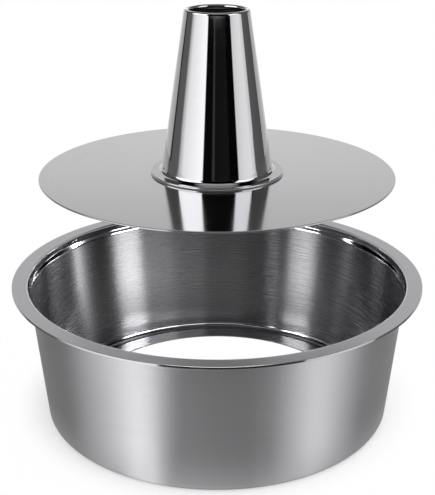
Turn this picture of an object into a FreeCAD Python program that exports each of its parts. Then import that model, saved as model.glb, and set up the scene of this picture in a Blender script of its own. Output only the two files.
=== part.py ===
import FreeCAD, Part
import math
import os
import re
import Sketcher

# Angel food cake pan, in millimetres. Every piece is round about the Z axis, and the pan stands on z = 0.
# The insert, a floor disc with a centre tube, is placed lifted out above the pan.

driving = {
    # all pieces
    "sheet": 0.8,  # steel sheet of the pan and of the tube
    # insert: floor disc
    "disc_radius": 115.2,
    "disc_thickness": 1.2,
    "disc_round": 0.5,  # the disc's outer edge
    # insert: centre tube
    "tube_height": 104.6,  # above the disc's top face
    "tube_top_radius": 20.7,
    "tube_foot_radius": 36.0,
    "curl_radius": 1.5,  # top edge, curled inwards
    "fold_width": 7.2,  # folded flange that lies on the disc, out from the tube's foot
    "fold_round": 0.6,
    "foot_round": 3.0,  # from the tube into that flange
    "lip_width": 3.5,  # end of the tube, turned out under the disc
    "lip_round": 0.3,
    "spigot_clearance": 0.1,  # tube in the disc's hole
    # outer pan: wall and rim
    "disc_clearance": 1.1,  # from the disc's edge to the foot of the pan's wall
    "pan_height": 95.5,
    "wall_flare": 8.5,  # how much the wall opens from its foot to the shoulder
    "shoulder_step": 1.5,  # from the wall out to the neck
    "shoulder_height": 2.6,
    "shoulder_round": 3.0,
    "neck_height": 5.2,  # from the shoulder up to the rim's top
    "rim_width": 9.9,  # flat rim, out from the neck
    "bend_round": 0.8,  # under the rim, where it leaves the neck
    "hem_width": 6.0,  # outer part of the rim, folded under itself
    "hem_depth": 1.7,
    "hem_round": 0.8,
    # outer pan: floor
    "corner_round": 5.0,  # outside, from the wall into the floor
    "ring_width": 8.6,  # foot ring, from the foot of the wall to the ledge's step
    "ledge_rise": 2.4,  # the ledge stands above the foot ring
    "step_run": 1.6,
    "step_round": 1.5,
    "ledge_width": 13.0,  # carries the disc, and ends at the floor's hole
    # how far the insert is lifted: from the rim's top up to the disc's underside
    "lift_height": 71.0,
}

# Sizes that follow from the driving ones, written in their names
floor_radius = "(disc_radius + disc_clearance + sheet)"
wall_radius = f"({floor_radius} + wall_flare)"
neck_radius = f"({wall_radius} + shoulder_step)"
rim_radius = f"({neck_radius} + rim_width)"
hem_radius = f"({rim_radius} - hem_width)"
step_radius = f"({floor_radius} - ring_width)"
ledge_radius = f"({step_radius} - step_run)"
hole_radius = f"({ledge_radius} - ledge_width)"
rim_underside = "(pan_height - sheet)"
neck_bottom = "(pan_height - neck_height)"
wall_top = f"({neck_bottom} - shoulder_height)"
# heights of the tube are from its lowest edge
disc_top = "(sheet + disc_thickness)"
fold_top = f"({disc_top} + 2 * sheet)"
curl_height = f"({disc_top} + tube_height - curl_radius)"
bore_radius = "(tube_foot_radius - sheet)"
lip_radius = "(tube_foot_radius + lip_width)"
fold_radius = "(tube_foot_radius + fold_width)"

doc = FreeCAD.newDocument("angel_food_cake_pan")
sizes = doc.addObject("Spreadsheet::Sheet", "Sizes")


def fill_sheet():
    for row, (name, number) in enumerate(driving.items(), start=1):
        sizes.set(f"A{row}", name)
        sizes.set(f"B{row}", str(number))
        sizes.setAlias(f"B{row}", name)
    doc.recompute()


def bound(text):
    # The same expression as another object of the document writes it
    return re.sub(r"[a-z_]{2,}", lambda name: "Sizes." + name.group(), text)


def value(text):
    return float(sizes.evalExpression(bound(text)))


def new_body(label):
    body = doc.addObject("PartDesign::Body", label)
    body.Label = label
    return body


def new_sketch(body, name):
    sketch = body.newObject("Sketcher::SketchObject", name)
    upright = next(plane for plane in body.Origin.OriginFeatures if plane.Role == "XZ_Plane")
    sketch.AttachmentSupport = [(upright, "")]
    sketch.MapMode = "FlatFace"
    return sketch


def tie(sketch, kind, places, text):
    # A dimension of the sketch that follows an expression
    number = sketch.addConstraint(Sketcher.Constraint(kind, *places, value(text)))
    sketch.setExpression(f"Constraints[{number}]", bound(text))


def tie_point(sketch, geometry, point, radius, height):
    # A point's distance from the axis and its height; a plain 0 puts it on the base line
    tie(sketch, "DistanceX", (-1, 1, geometry, point), radius)
    if height == "0":
        sketch.addConstraint(Sketcher.Constraint("PointOnObject", geometry, point, -1))
    else:
        tie(sketch, "DistanceY", (-1, 1, geometry, point), height)


def join(sketch, kind, line, line_end, arc):
    # Joins a line to whichever end of the arc lies at the line's end
    here = sketch.getPoint(line, line_end)
    arc_end = min((1, 2), key=lambda end: sketch.getPoint(arc, end).distanceToPoint(here))
    sketch.addConstraint(Sketcher.Constraint(kind, line, line_end, arc, arc_end))


def round_corner(sketch, before, after, corner, turn):
    # An arc between two lines that were drawn short of their corner, which stays as a construction point
    radius, height, rounding = corner
    point = FreeCAD.Vector(value(radius), value(height), 0)
    start = sketch.getPoint(before, 2)
    end = sketch.getPoint(after, 1)
    inwards = ((start + end) / 2 - point).normalize()
    middle = point + inwards * value(rounding) * (1 / math.cos(turn / 2) - 1)
    arc = sketch.addGeometry(Part.Arc(start, middle, end))
    mark = sketch.addGeometry(Part.Point(point), True)
    tie_point(sketch, mark, 1, radius, height)
    for line, line_end in ((before, 2), (after, 1)):
        sketch.addConstraint(Sketcher.Constraint("PointOnObject", mark, 1, line))
        join(sketch, "Tangent", line, line_end, arc)
    tie(sketch, "Radius", (arc,), rounding)


def draw_chain(sketch, corners, closed):
    # Straight lines from corner to corner; a corner is (radius, height) or (radius, height, rounding)
    points = [FreeCAD.Vector(value(corner[0]), value(corner[1]), 0) for corner in corners]
    following = points[1:] + points[:1]
    along = [(end - start).normalize() for start, end in zip(points, following)]
    turns = [along[number - 1].getAngle(along[number]) for number in range(len(points))]
    trims = [value(corner[2]) * math.tan(turn / 2) if len(corner) > 2 else 0.0
             for corner, turn in zip(corners, turns)]
    line_count = len(points) if closed else len(points) - 1
    for number in range(line_count):
        start = points[number] + along[number] * trims[number]
        end = following[number] - along[number] * trims[(number + 1) % len(points)]
        sketch.addGeometry(Part.LineSegment(start, end))
    for number in range(0 if closed else 1, line_count):
        before = (number - 1) % line_count
        corner = corners[number]
        if len(corner) > 2:
            round_corner(sketch, before, number, corner, turns[number])
        else:
            sketch.addConstraint(Sketcher.Constraint("Coincident", before, 2, number, 1))
            tie_point(sketch, number, 1, *corner)


def revolve(body, name, sketch):
    doc.recompute()
    if not sketch.FullyConstrained:
        raise RuntimeError(f"{sketch.Label} isn't fully constrained")
    turned = body.newObject("PartDesign::Revolution", name)
    turned.Profile = sketch
    turned.ReferenceAxis = (sketch, ["V_Axis"])
    turned.Angle = 360
    doc.recompute()
    return turned


def touches_circle(face, radius, height):
    # True for a face that one of the circles of its solid bounds
    for edge in face.Edges:
        if isinstance(edge.Curve, Part.Circle):
            same_height = math.isclose(edge.Curve.Center.z, value(height), abs_tol=1e-6)
            if same_height and math.isclose(edge.Curve.Radius, value(radius), abs_tol=1e-6):
                return True
    return False


def make_pan_shell():
    # One drawn sheet. Floor and wall are turned as a solid and hollowed to the sheet from the mouth and from the hole
    # in the floor; the rim, with its edge folded flat under itself, carries on from the neck.
    body = new_body("pan_shell")
    outside = new_sketch(body, "pan_outside")
    mouth = f"({rim_underside} - 2 * bend_round)"
    draw_chain(
        outside,
        [
            (hole_radius, "ledge_rise"),
            (ledge_radius, "ledge_rise", "step_round"),
            (step_radius, "0", "step_round"),
            (floor_radius, "0", "corner_round"),
            (wall_radius, wall_top, "shoulder_round"),
            (neck_radius, neck_bottom, "shoulder_round"),
            (neck_radius, mouth),
            (hole_radius, mouth),
        ],
        closed=True,
    )
    solid = revolve(body, "pan_solid", outside)

    inner_faces = [f"Face{number}" for number, face in enumerate(solid.Shape.Faces, start=1)
                   if touches_circle(face, hole_radius, mouth)]
    skin = body.newObject("PartDesign::Thickness", "pan_skin")
    skin.Base = (solid, inner_faces)
    skin.Reversed = True
    skin.setExpression("Value", bound("sheet"))
    doc.recompute()

    rim = new_sketch(body, "rim_section")
    neck_inside = f"({neck_radius} - sheet)"
    hem_bottom = "(pan_height - hem_depth)"
    draw_chain(
        rim,
        [
            (neck_inside, mouth),
            (neck_radius, mouth),
            (neck_radius, rim_underside, "bend_round"),
            (hem_radius, rim_underside),
            (hem_radius, hem_bottom),
            (rim_radius, hem_bottom, "hem_round"),
            (rim_radius, "pan_height", "hem_round"),
            (neck_inside, "pan_height", "(bend_round + sheet)"),
        ],
        closed=True,
    )
    revolve(body, "rim", rim)
    return body


def make_base_disc():
    # Flat plate with the hole that the tube's end goes through
    body = new_body("base_disc")
    section = new_sketch(body, "disc_section")
    tube_hole = "(tube_foot_radius + spigot_clearance)"
    draw_chain(
        section,
        [
            (tube_hole, "0"),
            ("disc_radius", "0", "disc_round"),
            ("disc_radius", "disc_thickness", "disc_round"),
            (tube_hole, "disc_thickness"),
        ],
        closed=True,
    )
    revolve(body, "disc", section)
    body.setExpression("Placement.Base.z", bound("pan_height + lift_height"))
    return body


def make_center_tube():
    # One spun sheet: curled top edge, cone, fold on the disc, and the lip under the disc
    body = new_body("center_tube")
    section = new_sketch(body, "tube_section")
    corners = [
        ("tube_top_radius - sheet", curl_height),
        (bore_radius, fold_top),
        (bore_radius, "0"),
        (lip_radius, "0", "lip_round"),
        (lip_radius, "sheet", "lip_round"),
        ("tube_foot_radius", "sheet"),
        ("tube_foot_radius", disc_top),
        (fold_radius, disc_top, "fold_round"),
        (fold_radius, fold_top, "fold_round"),
        ("tube_foot_radius", fold_top, "foot_round"),
        ("tube_top_radius", curl_height),
    ]
    draw_chain(section, corners, closed=False)
    bore_wall = 0
    outer_wall = len(corners) - 2
    tie_point(section, outer_wall, 2, *corners[-1])

    # The curl is one arc, from the outer wall over the top and round to the bore, which runs beside the outer wall
    curl_centre = ("tube_top_radius - curl_radius", curl_height)
    centre = FreeCAD.Vector(value(curl_centre[0]), value(curl_centre[1]), 0)
    ring = Part.Circle(centre, FreeCAD.Vector(0, 0, 1), value("curl_radius"))
    first_guess = math.radians(290)
    curl = section.addGeometry(Part.ArcOfCircle(ring, 0, first_guess))
    tie_point(section, curl, 3, *curl_centre)
    section.addConstraint(Sketcher.Constraint("Coincident", outer_wall, 2, curl, 1))
    section.addConstraint(Sketcher.Constraint("Coincident", bore_wall, 1, curl, 2))
    section.addConstraint(Sketcher.Constraint("Parallel", bore_wall, outer_wall))
    revolve(body, "tube", section)
    body.setExpression("Placement.Base.z", bound("pan_height + lift_height - sheet"))
    return body


def write_parts(bodies):
    doc.recompute()
    for item in doc.Objects:
        if {"Invalid", "Error"} & set(item.State):
            raise RuntimeError(f"{item.Label}: {item.State}")
    for body in bodies:
        if body.Shape.isNull() or not body.Shape.isValid() or len(body.Shape.Solids) != 1:
            raise RuntimeError(f"{body.Label} is not one sound solid")
    os.makedirs("parts", exist_ok=True)
    for body in bodies:
        body.Shape.exportStep(f"parts/{body.Label}.step")
        box = body.Shape.optimalBoundingBox()
        print(f"{body.Label}: {body.Shape.Volume:.0f} mm3, {box.XLength:.2f} wide, z {box.ZMin:.2f} to {box.ZMax:.2f}")


fill_sheet()
write_parts([make_pan_shell(), make_base_disc(), make_center_tube()])
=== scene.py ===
import math

import bpy
import mathutils
import numpy as np
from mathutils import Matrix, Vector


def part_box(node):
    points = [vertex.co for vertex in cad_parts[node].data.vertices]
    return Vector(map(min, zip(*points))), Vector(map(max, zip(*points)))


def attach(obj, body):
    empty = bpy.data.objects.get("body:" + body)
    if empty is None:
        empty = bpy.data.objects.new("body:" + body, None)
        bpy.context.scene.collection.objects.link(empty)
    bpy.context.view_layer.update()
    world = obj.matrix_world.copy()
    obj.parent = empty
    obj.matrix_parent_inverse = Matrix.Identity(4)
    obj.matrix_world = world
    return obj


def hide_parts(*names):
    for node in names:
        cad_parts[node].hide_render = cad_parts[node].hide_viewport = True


# Angel food cake pan of stainless sheet, with its insert lifted out above the outer pan.
# Section sizes are in millimetres, and everything that reaches Blender is in metres.

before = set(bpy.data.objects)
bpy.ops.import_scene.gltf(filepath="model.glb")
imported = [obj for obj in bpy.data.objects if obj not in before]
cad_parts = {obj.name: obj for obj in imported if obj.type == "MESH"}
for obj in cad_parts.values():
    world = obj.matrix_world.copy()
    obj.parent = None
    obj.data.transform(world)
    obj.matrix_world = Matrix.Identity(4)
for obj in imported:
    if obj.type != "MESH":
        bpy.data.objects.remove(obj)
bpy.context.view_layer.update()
mm = 0.001
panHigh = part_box("pan_shell")[1]
discLow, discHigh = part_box("base_disc")
tubeLow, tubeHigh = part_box("center_tube")
print("frame loaded:", sorted(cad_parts))


# Helpers for every piece and material

def linearColour(hexText):
    # sRGB hex to the linear colour that the shaders take
    code = np.array([int(hexText[at:at + 2], 16) for at in (1, 3, 5)]) / 255
    linear = np.where(code <= 0.04045, code / 12.92, ((code + 0.055) / 1.055) ** 2.4)
    return (*linear, 1.0)


def addNode(tree, kind, settings=None, inputs=None):
    # an input is a plain value, or another node's output to link
    node = tree.nodes.new(kind)
    for name, setting in (settings or {}).items():
        setattr(node, name, setting)
    for name, source in (inputs or {}).items():
        if isinstance(source, bpy.types.NodeSocket):
            tree.links.new(source, node.inputs[name])
        else:
            node.inputs[name].default_value = source
    return node


def emptyMaterial(name):
    material = bpy.data.materials.new(name)
    material.use_nodes = True
    material.node_tree.nodes.clear()
    return material, material.node_tree


def addObject(name, data):
    made = bpy.data.objects.new(name, data)
    bpy.context.scene.collection.objects.link(made)
    return made


def roundedSection(corners, arcSteps, runSteps):
    # A closed outline in (radius, height) through corners of (radius, height, rounding). Each corner is an
    # arc that touches both of its sides: the spherical blend of the two spokes from the arc's centre. Each
    # side between two arcs is straight, with even points and one more close to each end, which keeps the
    # shading of the bend off the flat.
    corners = np.array(corners, float)
    points = corners[:, :2]
    rounding = corners[:, 2]
    towardsLast = np.roll(points, 1, axis=0) - points
    towardsNext = np.roll(points, -1, axis=0) - points
    towardsLast /= np.linalg.norm(towardsLast, axis=1)[:, None]
    towardsNext /= np.linalg.norm(towardsNext, axis=1)[:, None]
    halfAngle = np.arccos(np.clip((towardsLast * towardsNext).sum(1), -1, 1)) / 2
    cut = (rounding / np.tan(halfAngle))[:, None]
    inwards = towardsLast + towardsNext
    inwards /= np.linalg.norm(inwards, axis=1)[:, None]
    centre = points + inwards * (rounding / np.sin(halfAngle))[:, None]
    arcStart = points + towardsLast * cut
    arcEnd = points + towardsNext * cut
    sweep = (math.pi - 2 * halfAngle)[:, None, None]
    share = np.linspace(0, 1, arcSteps + 1)[None, :, None]
    arcs = (centre[:, None]
            + np.sin((1 - share) * sweep) / np.sin(sweep) * (arcStart - centre)[:, None]
            + np.sin(share * sweep) / np.sin(sweep) * (arcEnd - centre)[:, None])
    hold = 0.004  # share of a side's length
    along = np.concatenate([[hold], np.arange(1, runSteps) / runSteps, [1 - hold]])[None, :, None]
    runEnd = np.roll(arcStart, -1, axis=0)
    runs = arcEnd[:, None] + along * (runEnd - arcEnd)[:, None]
    return arcs, runs


def offsetChain(corners, distance):
    # The same open chain of corners moved sideways to its left, for the other face of a sheet. A corner
    # moves along the bisector of its two sides, and its rounding grows where the chain turns right and
    # shrinks where it turns left.
    corners = np.array(corners, float)
    step = np.diff(corners[:, :2], axis=0)
    step /= np.linalg.norm(step, axis=1)[:, None]
    side = np.stack([-step[:, 1], step[:, 0]], axis=1)
    before = np.vstack([side[:1], side])
    after = np.vstack([side, side[-1:]])
    middle = (before + after) / (1 + (before * after).sum(1))[:, None]
    turn = before[:, 0] * after[:, 1] - before[:, 1] * after[:, 0]
    moved = corners.copy()
    moved[:, :2] += middle * distance
    moved[:, 2] -= np.sign(turn) * distance
    return moved


def turnedPiece(name, corners, size, materials, bendMaterial, sideMaterial):
    # A closed section carried once round the Z axis: x = radius cos(angle), y = radius sin(angle),
    # z = height. Both ways close on themselves, so there is no seam and no pole. Each bend and the side
    # after it has its material.
    arcs, runs = roundedSection(corners, size["arcSteps"], size["runSteps"])
    turns = size["turns"]
    outline = np.concatenate([arcs, runs], axis=1).reshape(-1, 2) * mm
    count = len(outline)
    angle = np.linspace(0, 2 * math.pi, turns, endpoint=False)
    radius = outline[:, 0][:, None]
    height = np.broadcast_to(outline[:, 1][:, None], (count, turns))
    points = np.stack([radius * np.cos(angle), radius * np.sin(angle), height], axis=-1).reshape(-1, 3)
    row, column = np.meshgrid(np.arange(count), np.arange(turns), indexing="ij")
    nextRow = (row + 1) % count
    nextColumn = (column + 1) % turns
    quads = np.stack([row * turns + column, row * turns + nextColumn,
                      nextRow * turns + nextColumn, nextRow * turns + column], axis=-1).reshape(-1, 4)
    mesh = bpy.data.meshes.new(name)
    mesh.vertices.add(len(points))
    mesh.vertices.foreach_set("co", points.astype(np.float32).ravel())
    mesh.loops.add(quads.size)
    mesh.loops.foreach_set("vertex_index", quads.astype(np.int32).ravel())
    mesh.polygons.add(len(quads))
    mesh.polygons.foreach_set("loop_start", np.arange(0, quads.size, 4, dtype=np.int32))
    mesh.polygons.foreach_set("use_smooth", np.ones(len(quads), bool))
    for material in materials:
        mesh.materials.append(material)
    slotOfRow = np.stack([bendMaterial, sideMaterial], axis=1).astype(np.int32)
    rowsOfSlot = np.tile([arcs.shape[1] - 1, runs.shape[1] + 1], len(arcs))
    slotOfRow = np.repeat(slotOfRow.ravel(), rowsOfSlot)
    mesh.polygons.foreach_set("material_index", np.repeat(slotOfRow, turns))
    # metres along the section, for the polish lines
    stepLength = np.linalg.norm(np.roll(outline, -1, axis=0) - outline, axis=1)
    reached = np.concatenate([[0.0], np.cumsum(stepLength)[:-1]])
    mark = mesh.attributes.new("alongSection", "FLOAT", "POINT")
    mark.data.foreach_set("value", np.repeat(reached, turns).astype(np.float32))
    mesh.update(calc_edges=True)
    mesh.validate()
    # volume: the sum over both triangles of each quad of (first x second) . third / 6
    first, second, third, fourth = (points[quads[:, corner]] for corner in range(4))
    volume = (np.cross(first, second) * third + np.cross(first, third) * fourth).sum() / 6
    print(f"{name}: {len(quads) * 2} triangles, {volume * 1e6:.2f} cm3")
    return addObject(name, mesh)


# Materials

# Every steel carries polish lines that run round the piece. They are one noise that is stretched along the
# turn: quick along the section and slow around the axis. It sets how dull each hair's breadth is, shifts its
# tone a little and leans it sideways. "rough" is the range of roughness, "spread" the anisotropy, which fans
# the shine out across the lines, "lineLean" a slope, and the lengths are millimetres.
steels = {
    # satin outside and top of the rim: blurs what stands round the pan into broad soft bands
    "satinStainlessSheet": {"clean": "#C9C9CB", "dull": "#BDBDC0", "rough": (0.28, 0.36), "spread": 0.5,
                            "lineWidth": 0.5, "lineLength": 70.0, "lineLean": 0.004},
    # polished bends and floor: thin bright and black lines along every bend
    "polishedStainlessSheet": {"clean": "#C9C9CB", "dull": "#C0C0C3", "rough": (0.08, 0.12), "spread": 0.4,
                               "lineWidth": 0.5, "lineLength": 70.0, "lineLean": 0.002},
    # lathe-polished inner wall: light fans out up and down, so it stands in upright bands
    # its tone is darker than the outside's: painted shade that darkens the inside of the pan
    "lathePolishedWallPaintedShade": {"clean": "#9C9C9E", "dull": "#929294", "rough": (0.25, 0.29), "spread": 1.0,
                          "lineWidth": 0.25, "lineLength": 30.0, "lineLean": 0.008},
    # mirror tube: hard-edged black and white bands with a trace of lines
    "mirrorStainlessTube": {"clean": "#D8D8DA", "dull": "#D0D0D2", "rough": (0.02, 0.07), "spread": 0.6,
                            "lineWidth": 0.4, "lineLength": 60.0, "lineLean": 0.002},
    # inside of the tube, left as spun: dull, and darker in tone, painted shade so that the bore reads black
    "spunBorePaintedShade": {"clean": "#77777A", "dull": "#68686B", "rough": (0.4, 0.5), "spread": 0.3,
                          "lineWidth": 0.6, "lineLength": 40.0, "lineLean": 0.01},
    # rolled disc: grey sheen, with the tube mirrored in it and softened with distance
    "rolledStainlessDisc": {"clean": "#C8C8CA", "dull": "#C0C0C2", "rough": (0.09, 0.14), "spread": 0.4,
                            "lineWidth": 0.5, "lineLength": 80.0, "lineLean": 0.002},
}
lineNoise = {"Scale": 1.0, "Detail": 3.0, "Roughness": 0.6}
noiseLow, noiseHigh = 0.3, 0.7  # nearly all of the noise lies between these
quarterTurn = 0.25  # lays the wide side of the shine across the lines


def steel(name):
    look = steels[name]
    material, tree = emptyMaterial(name)
    place = addNode(tree, "ShaderNodeTexCoord")
    along = addNode(tree, "ShaderNodeAttribute", {"attribute_name": "alongSection"})
    shape = addNode(tree, "ShaderNodeNewGeometry")
    turn = addNode(tree, "ShaderNodeTangent", {"direction_type": "RADIAL", "axis": "Z"})
    around = 1 / (look["lineLength"] * mm)
    step = addNode(tree, "ShaderNodeMath", {"operation": "DIVIDE"},
                   {0: along.outputs["Fac"], 1: look["lineWidth"] * mm})
    lift = addNode(tree, "ShaderNodeCombineXYZ", inputs={"Z": step.outputs[0]})
    lineSpace = addNode(tree, "ShaderNodeVectorMath", {"operation": "MULTIPLY_ADD"}, {
        0: place.outputs["Object"], 1: (around, around, 0.0), 2: lift.outputs["Vector"]})
    lines = addNode(tree, "ShaderNodeTexNoise", inputs={"Vector": lineSpace.outputs["Vector"], **lineNoise})
    slope = addNode(tree, "ShaderNodeMapRange", {"clamp": False}, {
        "Value": lines.outputs["Fac"], "To Min": -look["lineLean"], "To Max": look["lineLean"]})
    lean = addNode(tree, "ShaderNodeVectorMath", {"operation": "SCALE"},
                   {0: turn.outputs["Tangent"], "Scale": slope.outputs["Result"]})
    leaning = addNode(tree, "ShaderNodeVectorMath", {"operation": "ADD"},
                      {0: shape.outputs["Normal"], 1: lean.outputs["Vector"]})
    unit = addNode(tree, "ShaderNodeVectorMath", {"operation": "NORMALIZE"}, {0: leaning.outputs["Vector"]})
    rough = addNode(tree, "ShaderNodeMapRange", inputs={
        "Value": lines.outputs["Fac"], "From Min": noiseLow, "From Max": noiseHigh,
        "To Min": look["rough"][0], "To Max": look["rough"][1]})
    tone = addNode(tree, "ShaderNodeMix", {"data_type": "RGBA"}, {
        "Factor": lines.outputs["Fac"], "A": linearColour(look["clean"]), "B": linearColour(look["dull"])})
    surface = addNode(tree, "ShaderNodeBsdfPrincipled", inputs={
        "Base Color": tone.outputs["Result"], "Metallic": 1.0, "Roughness": rough.outputs["Result"],
        "Anisotropic": look["spread"], "Anisotropic Rotation": quarterTurn,
        "Normal": unit.outputs["Vector"], "Tangent": turn.outputs["Tangent"]})
    addNode(tree, "ShaderNodeOutputMaterial", inputs={"Surface": surface.outputs["BSDF"]})
    return material


satinSheet = steel("satinStainlessSheet")
polishedSheet = steel("polishedStainlessSheet")
latheWall = steel("lathePolishedWallPaintedShade")
mirrorTube = steel("mirrorStainlessTube")
boreWithPaintedShade = steel("spunBorePaintedShade")
rolledDisc = steel("rolledStainlessDisc")
print("materials made")


# Outer pan: one drawn sheet from the hole in the floor out to the folded rim

panSizes = {
    "sheet": 0.8,
    "holeRadius": 93.9,
    "ledgeRadius": 106.9,
    "stepRadius": 108.5,
    "floorRadius": 117.1,
    "wallRadius": 125.6,
    "neckRadius": 127.1,
    "ledgeRise": 2.4,
    "wallTop": 87.7,
    "neckBottom": 90.3,
    "rimBottom": 92.5,
    "stepRound": 1.5,
    "cornerRound": 5.0,
    "shoulderRound": 3.0,
    "bendRound": 0.8,
    "hemWidth": 6.0,
    "hemDepth": 1.7,
    "hemRound": 0.35,
    "edgeRound": 0.12,
    "joinRound": 0.04,
    "arcSteps": 7,
    "runSteps": 4,
    "turns": 256,
}


def makePan():
    # The rim is a mesh of its own, closed like the rest, so that lamps can be kept off its flat top.
    # The two meet in the neck.
    size = panSizes
    sheet = size["sheet"]
    neck = size["neckRadius"]
    rimRadius = panHigh.x / mm
    rimTop = panHigh.z / mm
    underside = rimTop - sheet
    hemRadius = rimRadius - size["hemWidth"]
    hemBottom = rimTop - size["hemDepth"]
    outside = [
        (size["holeRadius"], size["ledgeRise"], size["edgeRound"]),
        (size["ledgeRadius"], size["ledgeRise"], size["stepRound"]),
        (size["stepRadius"], 0, size["stepRound"]),
        (size["floorRadius"], 0, size["cornerRound"]),
        (size["wallRadius"], size["wallTop"], size["shoulderRound"]),
        (neck, size["neckBottom"], size["shoulderRound"]),
        (neck, size["rimBottom"], size["joinRound"]),
    ]
    inside = offsetChain(outside, sheet)
    inside[0, 2] = size["edgeRound"]
    folded = [
        (neck, size["rimBottom"], size["joinRound"]),
        (neck, underside, size["bendRound"]),
        (hemRadius, underside, size["edgeRound"]),
        (hemRadius, hemBottom, size["edgeRound"]),
        (rimRadius, hemBottom, size["hemRound"]),
        (rimRadius, rimTop, size["hemRound"]),
        (neck - sheet, rimTop, size["bendRound"] + sheet),
        (neck - sheet, size["rimBottom"], size["joinRound"]),
    ]
    satin, polished, lathe = range(3)
    materials = [satinSheet, polishedSheet, latheWall]
    bends = [satin] * (len(outside) - 1) + [polished] * (len(inside) + 1)
    sides = list(bends)
    innerWall = len(outside) + 2
    sides[innerWall] = lathe
    pan = turnedPiece("outer_pan", np.vstack([outside, inside[::-1]]), size, materials, bends, sides)
    bends = [polished] * len(folded)
    sides = list(bends)
    neckOutside, flatTop = 0, 5
    sides[neckOutside] = satin
    sides[flatTop] = satin
    rim = turnedPiece("pan_rim", folded, size, materials[:2], bends, sides)
    for piece in (pan, rim):
        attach(piece, "pan")
        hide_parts("pan_shell")
    return pan, rim


# Insert: the flat floor disc

discSizes = {
    "holeRadius": 36.1,
    "edgeRound": 0.5,
    "holeRound": 0.15,
    "arcSteps": 7,
    "runSteps": 24,
    "turns": 256,
}


def makeDisc():
    size = discSizes
    radius = discHigh.x / mm
    bottom = discLow.z / mm
    top = discHigh.z / mm
    corners = [
        (size["holeRadius"], bottom, size["holeRound"]),
        (radius, bottom, size["edgeRound"]),
        (radius, top, size["edgeRound"]),
        (size["holeRadius"], top, size["holeRound"]),
    ]
    allRolled = [0] * len(corners)
    disc = turnedPiece("floor_disc", corners, size, [rolledDisc], allRolled, allRolled)
    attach(disc, "insert")
    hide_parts("base_disc")
    return disc


# Insert: the spun centre tube

tubeSizes = {
    "sheet": 0.8,
    "topRadius": 20.7,
    "footRadius": 36.0,
    "curlRadius": 1.5,
    "beadShare": 0.95,
    "foldWidth": 7.2,
    "foldRound": 0.6,
    "footRound": 3.0,
    "lipWidth": 3.5,
    "lipRound": 0.3,
    "edgeRound": 0.1,
    "arcSteps": 7,
    "runSteps": 6,
    "turns": 192,
}


def makeTube():
    size = tubeSizes
    sheet = size["sheet"]
    foot = size["footRadius"]
    bottom = tubeLow.z / mm
    top = tubeHigh.z / mm
    discTop = discHigh.z / mm
    foldTop = discTop + 2 * sheet
    curl = size["curlRadius"]
    lean = (size["topRadius"] - foot) / (top - curl - foldTop)  # radius per height, along the cone
    bead = size["beadShare"] * curl  # rounding of the curl's corners
    corners = [
        (foot - sheet, bottom, size["edgeRound"]),
        (foot + size["lipWidth"], bottom, size["lipRound"]),
        (foot + size["lipWidth"], bottom + sheet, size["lipRound"]),
        (foot, bottom + sheet, size["edgeRound"]),
        (foot, discTop, size["edgeRound"]),
        (foot + size["foldWidth"], discTop, size["foldRound"]),
        (foot + size["foldWidth"], foldTop, size["foldRound"]),
        (foot, foldTop, size["footRound"]),
        (size["topRadius"] + lean * curl, top, bead),
        (size["topRadius"] - 2 * curl, top, bead),
        (size["topRadius"] - 2 * curl, top - 2 * curl, bead),
        (size["topRadius"] - lean * curl - sheet, top - 2 * curl, size["edgeRound"]),
        (foot - sheet, foldTop, size["footRound"]),
    ]
    mirror, spun = range(2)
    bends = [mirror] * (len(corners) - 1) + [spun]
    sides = [mirror] * (len(corners) - 2) + [spun] * 2  # the bore starts where the curl ends
    tube = turnedPiece("centre_tube", corners, size, [mirrorTube, boreWithPaintedShade], bends, sides)
    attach(tube, "insert")
    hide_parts("center_tube")
    return tube


outerPan, panRim = makePan()
floorDisc = makeDisc()
centreTube = makeTube()
print("pieces made")


# Stage: white floor and surround, camera where the photograph was taken

white = linearColour("#FFFFFF")
# metres, degrees and pixels; imageHeight is the frame's longer side, and the sensor is in millimetres
photoView = {"across": 0.0003, "back": 0.6583, "height": 0.3679, "downTilt": 21.08,
             "focalPixels": 1051.0, "imageHeight": 495, "sensor": 36.0}


def makeCamera():
    view = photoView
    lens = bpy.data.cameras.new("photoCamera")
    lens.sensor_width = view["sensor"]
    lens.lens = view["focalPixels"] / view["imageHeight"] * view["sensor"]
    camera = addObject("photoCamera", lens)
    camera.location = (view["across"], -view["back"], view["height"])
    camera.rotation_euler = (math.radians(90 - view["downTilt"]), 0, 0)
    bpy.context.scene.camera = camera


floorLook = {"reach": 12.0, "underPan": 0.1, "shadeFrom": 0.114, "shadeTo": 0.145, "shadeBack": 0.01,
             "nearGlow": 0.3, "farGlow": 0.98}


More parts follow.
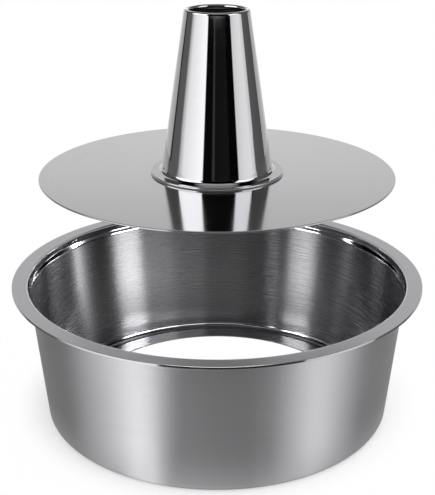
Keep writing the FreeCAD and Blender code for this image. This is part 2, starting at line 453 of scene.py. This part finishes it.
def makeFloor():
    # White floor with painted light: it glows by itself, more so away from the pan, which fills in the
    # shadow there and leaves only a soft shadow round the foot, and it shows fully white through the pan's
    # floor, where it lies in shade. Lengths are metres from the middle of the shade, which lies a little
    # behind the axis, and glow is the share of its own light.
    look = floorLook
    reach = look["reach"]
    mesh = bpy.data.meshes.new("floor")
    corners = [(-reach, -reach, 0), (reach, -reach, 0), (reach, reach, 0), (-reach, reach, 0)]
    mesh.from_pydata(corners, [], [(0, 1, 2, 3)])
    floor = addObject("floor", mesh)
    material, tree = emptyMaterial("paintedGlowFloor")
    sheet = addNode(tree, "ShaderNodeBsdfDiffuse", inputs={"Color": white})
    lit = addNode(tree, "ShaderNodeEmission", inputs={"Color": white, "Strength": 1.0})
    place = addNode(tree, "ShaderNodeTexCoord")
    fromShade = addNode(tree, "ShaderNodeVectorMath", {"operation": "DISTANCE"},
                        {0: place.outputs["Object"], 1: (0.0, look["shadeBack"], 0.0)})
    inside = addNode(tree, "ShaderNodeMath", {"operation": "LESS_THAN"},
                     {0: fromShade.outputs["Value"], 1: look["underPan"]})
    # camera rays see the floor under the pan at full glow: painted light over the shade there
    ray = addNode(tree, "ShaderNodeLightPath")
    insideSeen = addNode(tree, "ShaderNodeMath", {"operation": "MULTIPLY"},
                         {0: inside.outputs[0], 1: ray.outputs["Is Camera Ray"]})
    glow = addNode(tree, "ShaderNodeMapRange", {"interpolation_type": "SMOOTHSTEP"}, {
        "Value": fromShade.outputs["Value"], "From Min": look["shadeFrom"], "From Max": look["shadeTo"],
        "To Min": look["nearGlow"], "To Max": look["farGlow"]})
    share = addNode(tree, "ShaderNodeMath", {"operation": "MAXIMUM"},
                    {0: insideSeen.outputs[0], 1: glow.outputs["Result"]})
    both = addNode(tree, "ShaderNodeMixShader", inputs={
        "Fac": share.outputs[0], 1: sheet.outputs["BSDF"], 2: lit.outputs["Emission"]})
    addNode(tree, "ShaderNodeOutputMaterial", inputs={"Surface": both.outputs["Shader"]})
    mesh.materials.append(material)


# Tent of cards, which shows only in the metal. Each list gives the light of the cards at some angles, in
# degrees from the camera's side to the right.
# foot and table, for every piece: dim in front, bright on both sides, which the satin wall blurs into bands
footCards = [(-180, 0.4), (-93, 0.4), (-63, 0.66), (-50, 1.1), (-40, 1.2), (-28, 0.62), (20, 0.46),
             (40, 0.6), (60, 0.7), (75, 0.5), (93, 0.4), (180, 0.4)]
tableCards = [(-180, 0.3), (-105, 0.22), (-93, 0.4), (-75, 0.7), (-63, 1.02), (-50, 1.5), (-40, 1.25),
              (-33, 0.62), (-25, 0.3), (20, 0.2), (33, 0.28), (48, 0.7), (60, 1.02), (70, 0.94),
              (82, 0.6), (93, 0.36), (102, 0.22), (180, 0.3)]
# low wall, for rim and insert: a black flag in front, a softbox on each side, grey cards, a pale backdrop
lowCards = [(-180, 0.9), (-150, 0.6), (-127, 0.5), (-122, 0.02), (-118, 0.02), (-117, 0.13), (-92, 0.14),
            (-88, 0.55), (-76, 1.1), (-40, 1.4), (-30.5, 1.45), (-28.5, 0.003), (-11, 0.003), (-9, 0.05),
            (-6, 0.04), (-4, 0.008), (24, 0.01), (28, 0.002), (44, 0.002), (46, 0.85), (60, 1.0),
            (76, 1.05), (88, 0.8), (91, 0.13), (126, 0.1), (129, 0.5), (150, 0.6), (180, 0.9)]
# high wall and ceiling, for rim and disc: pale all round, so that flat metal is grey from every side
discCards = [(-180, 0.9), (-160, 0.8), (-120, 0.6), (0, 0.45), (120, 0.6), (160, 0.8), (180, 0.9)]
discHighCards = [(-180, 0.62), (-160, 0.6), (-120, 0.5), (0, 0.4), (120, 0.5), (160, 0.6), (180, 0.62)]
# a dim card under the pan's floor and a nearly black ring round its foot, shown in the metal: painted shade
underPanShadeCards = [(0, 0.2)]
# dark sheets that stand in for the shade under the pan and where it meets the table
footShadeCards = [(0, 0.02)]
ceilingCards = [(0, 0.3)]
cardLift = 0.0001
footReach = 0.118
wallReach = 4.0
ceilingHeight = 4.6
tent = {  # each row: start of the reach from the axis, reach, height, light of the cards
    "columns": 721,
    "table": [
        (0.0, 0.0, cardLift, underPanShadeCards),
        (0.0, 0.1, cardLift, underPanShadeCards),
        (0.113, 0.0, cardLift, footShadeCards),
        (0.1145, 0.0, cardLift, footShadeCards),
        (0.117, 0.0, cardLift, footCards),
        (footReach, 0.03, cardLift, tableCards),
        (footReach, 0.15, cardLift, tableCards),
        (footReach, 0.2, cardLift, lowCards),
        (footReach, 3.8, cardLift, lowCards),
        (0.0, wallReach, 0.001, lowCards),
    ],
    "lowWall": [
        (0.0, wallReach, 0.001, lowCards),
        (0.0, wallReach, 0.87, lowCards),
    ],
    "highWall": [
        (0.0, wallReach, 0.88, discCards),
        (0.0, wallReach, 1.3, discCards),
        (0.0, wallReach, 1.8, discHighCards),
        (0.0, wallReach, ceilingHeight, discHighCards),
        (0.0, 3.98, ceilingHeight, ceilingCards),
        (0.0, 0.0, ceilingHeight, ceilingCards),
    ],
}


def receivers(name, *pieces):
    lit = bpy.data.collections.new(name)
    for piece in pieces:
        lit.objects.link(piece)
    return lit


def addCards(name, rows):
    # Each row is carried round the axis: x = reach sin(angle), y = -reach cos(angle). On the table the reach
    # starts at the pan's foot at half the angle, which is the line that the upright wall mirrors to the
    # camera. Light between two given angles or rows changes evenly from one to the other.
    degrees = np.linspace(-180, 180, tent["columns"])
    angle = np.radians(degrees)
    start = np.array([row[0] for row in rows])[:, None]
    reach = np.array([row[1] for row in rows])[:, None]
    height = np.array([row[2] for row in rows])[:, None]
    light = np.array([np.interp(degrees, *np.array(row[3], float).T) for row in rows])
    across = start * np.sin(angle / 2) + reach * np.sin(angle)
    back = -start * np.cos(angle / 2) - reach * np.cos(angle)
    points = np.stack(np.broadcast_arrays(across, back, height), axis=-1).reshape(-1, 3)
    row, column = np.meshgrid(np.arange(len(height) - 1), np.arange(len(angle) - 1), indexing="ij")
    corner = (row * len(angle) + column).ravel()
    faces = np.stack([corner, corner + 1, corner + 1 + len(angle), corner + len(angle)], axis=1)
    mesh = bpy.data.meshes.new(name)
    mesh.from_pydata(points.tolist(), [], faces.tolist())
    mark = mesh.attributes.new("light", "FLOAT", "POINT")
    mark.data.foreach_set("value", light.astype(np.float32).ravel())
    card = addObject(name, mesh)
    material, tree = emptyMaterial(name)
    material.cycles.emission_sampling = "NONE"  # mirrored rays find the cards, and the lamps get the samples
    level = addNode(tree, "ShaderNodeAttribute", {"attribute_name": "light"})
    glow = addNode(tree, "ShaderNodeEmission", inputs={"Color": white, "Strength": level.outputs["Fac"]})
    addNode(tree, "ShaderNodeOutputMaterial", inputs={"Surface": glow.outputs["Emission"]})
    mesh.materials.append(material)
    card.visible_camera = False
    card.visible_diffuse = False
    card.visible_shadow = False
    return card


def makeCards(rim, disc, tube):
    addCards("tableCards", tent["table"])
    low = addCards("lowCards", tent["lowWall"])
    low.light_linking.receiver_collection = receivers("rimAndInsert", rim, disc, tube)
    high = addCards("discCards", tent["highWall"])
    high.light_linking.receiver_collection = receivers("rimAndDisc", rim, disc)


# Lamps for one piece each, because the photograph shows pan and insert lit apart: the angle of the lamp's
# middle, its distance, height, the height it faces on the axis, width and height of its face in metres, and
# its light as the metal shows it.
# strips and fills between the rim and the lifted disc, which stand in the inner wall as upright bands
strip = {"distance": 3.0, "up": 1.33, "aim": 1.33, "tall": 1.26}
panLamps = {
    "leftStrip": {**strip, "degrees": -61, "wide": 1.06, "light": 13.0},
    "rightStrip": {**strip, "degrees": 63.5, "wide": 1.06, "light": 26.0},
    "rightFill": {**strip, "degrees": 40.5, "wide": 1.11, "light": 5.0},
    "frontFill": {**strip, "degrees": 19.5, "wide": 1.11, "light": 2.2},
    "leftFill": {**strip, "degrees": -5.5, "wide": 1.55, "light": 0.7},
    "rightEdge": {**strip, "degrees": 105.5, "wide": 0.16, "light": 70.0},
    "leftEdge": {**strip, "degrees": -97, "wide": 0.2, "light": 8.0},
    "backPanel": {**strip, "degrees": 180, "up": 1.9, "aim": 1.9, "tall": 3.3, "wide": 3.4, "light": 0.8},
}
# a panel overhead, for the thin bright line along the bends of the rim
overhead = {"degrees": 0, "distance": 0.3, "aim": 0.0}
rimLamps = {
    "overheadPanel": {**overhead, "up": 3.0, "tall": 1.6, "wide": 1.6, "light": 4.0},
}
# softboxes for the white bands of the tube, with dim cards beside, behind and above it
softbox = {"distance": 3.0, "up": 2.25, "aim": 2.25, "tall": 2.9}
tubeLamps = {
    "leftBox": {**softbox, "degrees": -64.5, "wide": 3.4, "light": 2.2},
    "rightBox": {**softbox, "degrees": 63, "wide": 2.2, "light": 1.6},
    "leftWing": {**softbox, "degrees": -121, "wide": 2.8, "light": 0.1},
    "rightWing": {**softbox, "degrees": 115, "wide": 3.0, "light": 0.1},
    "backBox": {**softbox, "degrees": 180, "up": 2.1, "aim": 2.1, "wide": 3.4, "light": 0.65},
    "topBox": {**overhead, "up": 3.6, "tall": 2.6, "wide": 2.6, "light": 0.4},
}


def makeLamps(lamps, lit):
    for name, lamp in lamps.items():
        light = bpy.data.lights.new(name, "AREA")
        light.shape = "RECTANGLE"
        light.size = lamp["wide"]
        light.size_y = lamp["tall"]
        # an even lamp gives power / (pi area)
        light.energy = lamp["light"] * math.pi * lamp["wide"] * lamp["tall"]
        angle = math.radians(lamp["degrees"])
        reach = lamp["distance"]
        place = mathutils.Vector((reach * math.sin(angle), -reach * math.cos(angle), lamp["up"]))
        towards = mathutils.Vector((0, 0, lamp["aim"])) - place
        stand = addObject(name, light)
        stand.location = place
        stand.rotation_euler = towards.to_track_quat("-Z", "Y").to_euler()
        stand.visible_camera = False
        stand.visible_diffuse = False
        stand.light_linking.receiver_collection = lit


def makeWorld():
    world = bpy.data.worlds.new("whiteStudio")
    world.use_nodes = True
    tree = world.node_tree
    tree.nodes.clear()
    sky = addNode(tree, "ShaderNodeBackground", inputs={"Color": white, "Strength": 1.0})
    addNode(tree, "ShaderNodeOutputWorld", inputs={"Surface": sky.outputs["Background"]})
    bpy.context.scene.world = world


makeCards(panRim, floorDisc, centreTube)
makeLamps(panLamps, receivers("panOnly", outerPan))
makeLamps(rimLamps, receivers("rimOnly", panRim))
makeLamps(tubeLamps, receivers("tubeOnly", centreTube))
makeCamera()
makeFloor()
makeWorld()
bpy.context.scene.view_settings.view_transform = "Standard"
print("stage made")
